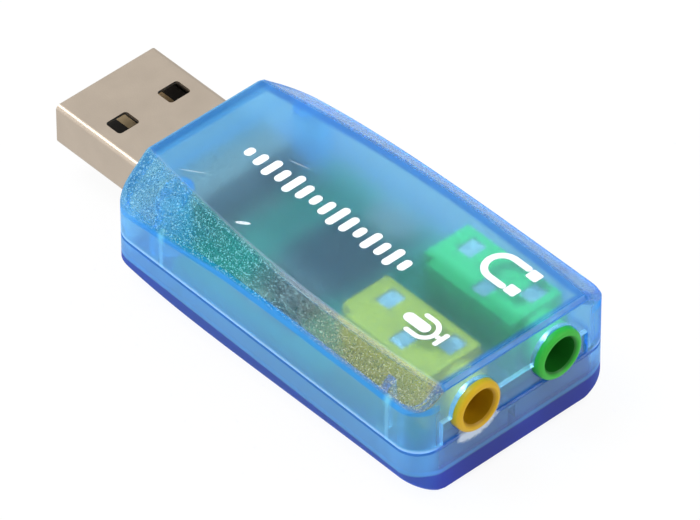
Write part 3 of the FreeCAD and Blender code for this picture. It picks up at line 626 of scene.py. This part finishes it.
def microphone_sign(paint):
    """A capsule in its cradle, on a stem with a foot."""
    hub, reach, band, arm_long = (19.9, -4.65), 1.25, 0.5, 1.0
    capsule_begin, capsule_wide = 18.0, 1.15
    gap, stem_long, stem_ease, foot_long, foot_half, foot_ease = 0.02, 0.3, 0.02, 0.5, 0.95, 0.2
    arm_end, stem_begin = hub[0] - arm_long, hub[0] + reach + band / 2 + gap
    foot_begin = stem_begin + stem_long + gap
    cradle = [(arm_end, hub[1] - reach)] + arc(hub, reach, 270, 450) + [(arm_end, hub[1] + reach)]
    stem = block((stem_begin, hub[1] - band / 2), (stem_begin + stem_long, hub[1] + band / 2), stem_ease)
    foot = block((foot_begin, hub[1] - foot_half), (foot_begin + foot_long, hub[1] + foot_half), foot_ease)
    capsule = stroke([(capsule_begin, hub[1]), hub], capsule_wide)
    ink("microphone_sign", [capsule, stroke(cradle, band), stem, foot], paint)


def level_bars(paint):
    """A row of round-ended bars of different heights."""
    heights = (1.2, 1.7, 2.4, 1.8, 2.7, 2.1, 1.4, 2.0, 2.8, 2.3, 1.5, 2.5, 1.9, 2.6, 1.6)
    begin, pitch, wide, level = -7.3, 1.44, 0.84, -0.5
    bars = []
    for step, tall in enumerate(heights):
        bar_x, reach = begin + pitch * step, (tall - wide) / 2
        bars.append(stroke([(bar_x, level - reach), (bar_x, level + reach)], wide))
    ink("level_bars", bars, paint)


def print_lid():
    """Generic signs in white ink."""
    paint = plain("white_ink", (0.82, 0.86, 0.89), 0.5)
    headphone_sign(paint)
    microphone_sign(paint)
    level_bars(paint)


def white_stage():
    """Pale floor that shows white and keeps a soft shadow, under an even white room."""
    half, low, shown, room_light = 4.0, -0.02 * MM, 0.94, 0.75
    mesh = bpy.data.meshes.new("floor")
    corners = [(-half, -half, low), (half, -half, low), (half, half, low), (-half, half, low)]
    mesh.from_pydata(corners, [], [(0, 1, 2, 3)])
    floor = bpy.data.objects.new("floor", mesh)
    bpy.context.scene.collection.objects.link(floor)
    paint = Paint("white_floor")
    direct, gloss, through = (paint.node("ShaderNodeLightPath", output=f"Is {kind} Ray")
                              for kind in ("Camera", "Glossy", "Transmission"))
    seen = direct.most(gloss).most(through)
    _, (x, y, _) = paint.place()
    under = abs(x - 6).rise(21.5, 15) * abs(y).rise(10.5, 6.5)
    white = paint.node("ShaderNodeEmission", {}, {"Color": rgba(1, 1, 1), "Strength": 1.0})
    card = paint.matt((0.8, 0.8, 0.8))
    mesh.materials.append(paint.finish(paint.blend(seen * (1 - under) * shown, card, white)))

    room = Paint("white_room", bpy.data.worlds, "ShaderNodeOutputWorld")
    glow = room.node("ShaderNodeBackground", {}, {"Color": rgba(1, 1, 1), "Strength": room_light})
    bpy.context.scene.world = room.finish(glow)


def softbox(name, place, size, watts):
    """A round lamp that points at the foot of the object."""
    light = bpy.data.lights.new(name, "AREA")
    light.shape = "DISK"
    light.size = size
    light.energy = watts
    item = bpy.data.objects.new(name, light)
    item.location = place
    item.rotation_euler = (-Vector(place)).to_track_quat("-Z", "Y").to_euler()
    bpy.context.scene.collection.objects.link(item)


def aim_camera():
    """The photograph's view: turned 47.5 degrees round, 42.7 degrees up, from 0.81 m with a long lens."""
    turn, lift, roll = (math.radians(angle) for angle in (47.545, 42.708, -0.145))
    target, distance, lens, sensor = Vector((3.860, 1.267, 5.800)) * MM, 0.808887, 470.01, 36.0
    back = Vector((math.sin(turn) * math.cos(lift), -math.cos(turn) * math.cos(lift), math.sin(lift)))
    right = Vector((math.cos(turn), math.sin(turn), 0))
    up = back.cross(right)
    across = right * math.cos(roll) + up * math.sin(roll)
    above = up * math.cos(roll) - right * math.sin(roll)
    data = bpy.data.cameras.new("camera")
    data.sensor_width = sensor
    data.sensor_fit = "HORIZONTAL"
    data.lens = lens
    camera = bpy.data.objects.new("camera", data)
    spot = target + back * distance
    camera.matrix_world = Matrix.Translation(spot) @ Matrix((across, above, back)).transposed().to_4x4()
    bpy.context.scene.collection.objects.link(camera)
    bpy.context.scene.camera = camera


def main():
    bounces = 32
    bpy.context.scene.view_settings.view_transform = "Standard"
    bpy.context.scene.cycles.max_bounces = bounces
    bpy.context.scene.cycles.transmission_bounces = bounces
    dress_nodes()
    print_lid()
    white_stage()
    softbox("key_softbox", (-0.25, -0.15, 0.6), 0.35, 3.0)
    softbox("fill_softbox", (0.5, 0.35, 0.35), 0.3, 1.2)
    softbox("side_softbox", (-0.1, -0.65, 0.2), 0.6, 1.5)
    aim_camera()


main()
